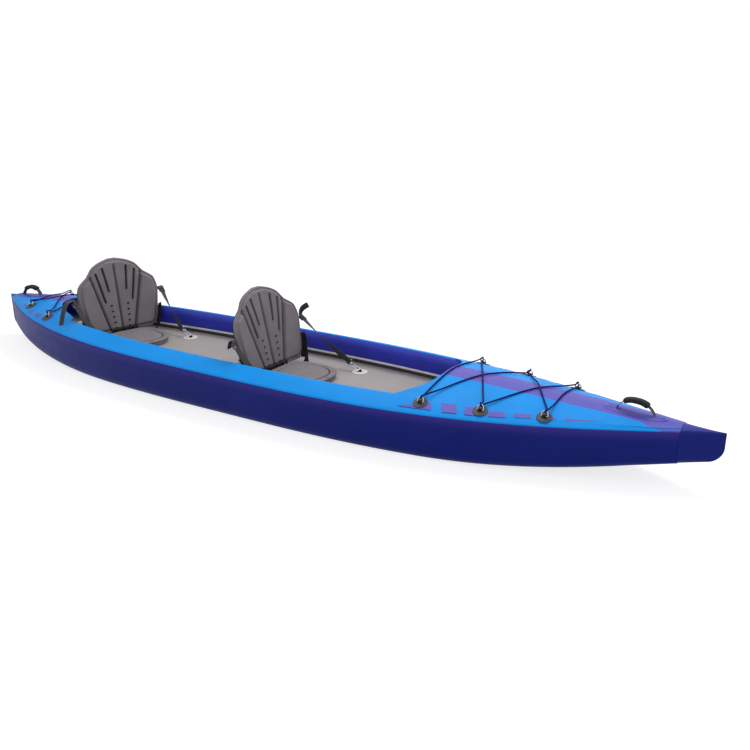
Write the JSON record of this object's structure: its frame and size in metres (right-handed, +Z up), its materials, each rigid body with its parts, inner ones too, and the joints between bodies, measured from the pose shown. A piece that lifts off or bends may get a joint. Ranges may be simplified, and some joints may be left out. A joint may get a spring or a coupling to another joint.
{
  "type": "tandem inflatable kayak",
  "caption": "Inflatable tandem kayak with drop-stitch floor and sides, laced bow and stern decks, carry handles, and folding foam seats strapped to floor rings.",
  "frame": {"origin": "on the ground, below the middle of the hull's length and beam", "axes": "+X towards the bow, +Y to port, +Z up"},
  "size_m": [4.73, 0.9672, 0.6252],
  "materials": {
    "light_blue_fabric": "coated fabric, satin",
    "navy_fabric": "coated fabric, satin",
    "violet_fabric": "coated fabric, satin",
    "grey_floor_fabric": "coated fabric, matte",
    "grey_tape": "matte",
    "grey_foam": "closed-cell foam, matte",
    "black_webbing": "woven",
    "black_plastic": "moulded",
    "grey_plastic": "moulded",
    "white_plastic": "moulded",
    "dark_patch": "matte",
    "pale_patch": "matte",
    "steel": "polished wire",
    "navy_cord": "braided"
  },
  "bodies": {
    "hull": {"floor_chamber": "grey_floor_fabric", "port_side_chamber": "navy_fabric", "starboard_side_chamber": "navy_fabric", "bow_deck": "light_blue_fabric", "stern_deck": "light_blue_fabric", "bow_nose_cap": "violet_fabric", "stern_nose_cap": "violet_fabric", "floor_seam_tapes": "grey_tape", "skeg_box": "black_plastic", "handle_patches": "violet_fabric", "bow_handle_webbing": "black_webbing", "bow_handle_grip": "black_webbing", "stern_handle_webbing": "black_webbing", "stern_handle_grip": "black_webbing", "deck_ring_patches": "dark_patch", "deck_ring_tabs": "black_webbing", "deck_d_rings": "steel", "bow_shock_cord": "navy_cord", "stern_shock_cord": "navy_cord", "floor_anchor_patches": "pale_patch", "floor_anchor_tabs": "black_webbing", "floor_d_rings": "steel", "floor_valve_body": "grey_plastic", "port_valve_body": "grey_plastic", "starboard_valve_body": "grey_plastic", "front_seat_pad": "grey_foam", "front_hinge_roll": "black_webbing", "front_side_gussets": "black_webbing", "front_seat_front_straps": "black_webbing", "front_seat_rear_straps": "black_webbing", "front_seat_hooks": "steel", "rear_seat_pad": "grey_foam", "rear_hinge_roll": "black_webbing", "rear_side_gussets": "black_webbing", "rear_seat_front_straps": "black_webbing", "rear_seat_rear_straps": "black_webbing", "rear_seat_hooks": "steel"},
    "front_backrest": {"front_backrest_foam": "grey_foam", "front_backrest_backing": "black_webbing", "front_strap_buckles": "black_plastic", "front_strap_tails": "black_webbing"},
    "rear_backrest": {"rear_backrest_foam": "grey_foam", "rear_backrest_backing": "black_webbing", "rear_strap_buckles": "black_plastic", "rear_strap_tails": "black_webbing"},
    "front_gate_fore_port": {"front_gate_fore_port": "steel"},
    "front_gate_fore_starboard": {"front_gate_fore_starboard": "steel"},
    "front_gate_aft_port": {"front_gate_aft_port": "steel"},
    "front_gate_aft_starboard": {"front_gate_aft_starboard": "steel"},
    "rear_gate_fore_port": {"rear_gate_fore_port": "steel"},
    "rear_gate_fore_starboard": {"rear_gate_fore_starboard": "steel"},
    "rear_gate_aft_port": {"rear_gate_aft_port": "steel"},
    "rear_gate_aft_starboard": {"rear_gate_aft_starboard": "steel"},
    "floor_valve_cap": {"floor_valve_cap": "white_plastic"},
    "floor_valve_stem": {"floor_valve_stem": "white_plastic"},
    "port_valve_cap": {"port_valve_cap": "white_plastic"},
    "port_valve_stem": {"port_valve_stem": "white_plastic"},
    "starboard_valve_cap": {"starboard_valve_cap": "white_plastic"},
    "starboard_valve_stem": {"starboard_valve_stem": "white_plastic"}
  },
  "joints": [
    {"name": "front_backrest_fold", "type": "hinge", "parent": "hull", "child": "front_backrest", "pos_m": [-0.02, -0.042, 0.1844], "axis": [0.0262, 0.9997, 0], "range_deg": [-12, 60], "deforming": ["front_side_gussets", "front_seat_front_straps", "front_seat_rear_straps", "front_strap_tails"]},
    {"name": "rear_backrest_fold", "type": "hinge", "parent": "hull", "child": "rear_backrest", "pos_m": [-1.295, 0.024, 0.18689], "axis": [0.2756, 0.9613, 0], "range_deg": [-14, 56], "deforming": ["rear_side_gussets", "rear_seat_front_straps", "rear_seat_rear_straps", "rear_strap_tails"]},
    {"name": "front_gate_fore_port_swing", "type": "hinge", "parent": "hull", "child": "front_gate_fore_port", "pos_m": [0.33428, 0.202, 0.18082], "axis": [0, 1, 0], "range_deg": [0, 24], "stiffness_Nm_per_rad": 0.02},
    {"name": "front_gate_fore_starboard_swing", "type": "hinge", "parent": "hull", "child": "front_gate_fore_starboard", "pos_m": [0.33428, -0.202, 0.18082], "axis": [0, 1, 0], "range_deg": [0, 24], "stiffness_Nm_per_rad": 0.02},
    {"name": "front_gate_aft_port_swing", "type": "hinge", "parent": "hull", "child": "front_gate_aft_port", "pos_m": [-0.19621, 0.17, 0.19183], "axis": [0, -1, 0], "range_deg": [0, 24], "stiffness_Nm_per_rad": 0.02},
    {"name": "front_gate_aft_starboard_swing", "type": "hinge", "parent": "hull", "child": "front_gate_aft_starboard", "pos_m": [-0.19621, -0.17, 0.19183], "axis": [0, -1, 0], "range_deg": [0, 24], "stiffness_Nm_per_rad": 0.02},
    {"name": "rear_gate_fore_port_swing", "type": "hinge", "parent": "hull", "child": "rear_gate_fore_port", "pos_m": [-0.94072, 0.202, 0.18082], "axis": [0, 1, 0], "range_deg": [0, 24], "stiffness_Nm_per_rad": 0.02},
    {"name": "rear_gate_fore_starboard_swing", "type": "hinge", "parent": "hull", "child": "rear_gate_fore_starboard", "pos_m": [-0.94072, -0.202, 0.18082], "axis": [0, 1, 0], "range_deg": [0, 24], "stiffness_Nm_per_rad": 0.02},
    {"name": "rear_gate_aft_port_swing", "type": "hinge", "parent": "hull", "child": "rear_gate_aft_port", "pos_m": [-1.47121, 0.17, 0.2007], "axis": [0, -1, 0], "range_deg": [0, 24], "stiffness_Nm_per_rad": 0.02},
    {"name": "rear_gate_aft_starboard_swing", "type": "hinge", "parent": "hull", "child": "rear_gate_aft_starboard", "pos_m": [-1.47121, -0.17, 0.2007], "axis": [0, -1, 0], "range_deg": [0, 24], "stiffness_Nm_per_rad": 0.02},
    {"name": "floor_valve_cap_hinge", "type": "hinge", "parent": "hull", "child": "floor_valve_cap", "pos_m": [-1.7001, 0, 0.16774], "axis": [0, -1, 0], "range_deg": [0, 135]},
    {"name": "floor_valve_stem_press", "type": "slide", "parent": "hull", "child": "floor_valve_stem", "axis": [-0.0563, 0, -0.9984], "range_m": [0, 0.004], "stiffness_N_per_m": 400},
    {"name": "port_valve_cap_hinge", "type": "hinge", "parent": "hull", "child": "port_valve_cap", "pos_m": [-1.46643, 0.24319, 0.215], "axis": [0, 0, 1], "range_deg": [0, 135]},
    {"name": "port_valve_stem_press", "type": "slide", "parent": "hull", "child": "port_valve_stem", "axis": [-0.2278, 0.9737, 0], "range_m": [0, 0.004], "stiffness_N_per_m": 400},
    {"name": "starboard_valve_cap_hinge", "type": "hinge", "parent": "hull", "child": "starboard_valve_cap", "pos_m": [-1.46643, -0.24319, 0.215], "axis": [0, 0, -1], "range_deg": [0, 135]},
    {"name": "starboard_valve_stem_press", "type": "slide", "parent": "hull", "child": "starboard_valve_stem", "axis": [-0.2278, -0.9737, 0], "range_m": [0, 0.004], "stiffness_N_per_m": 400}
  ]
}
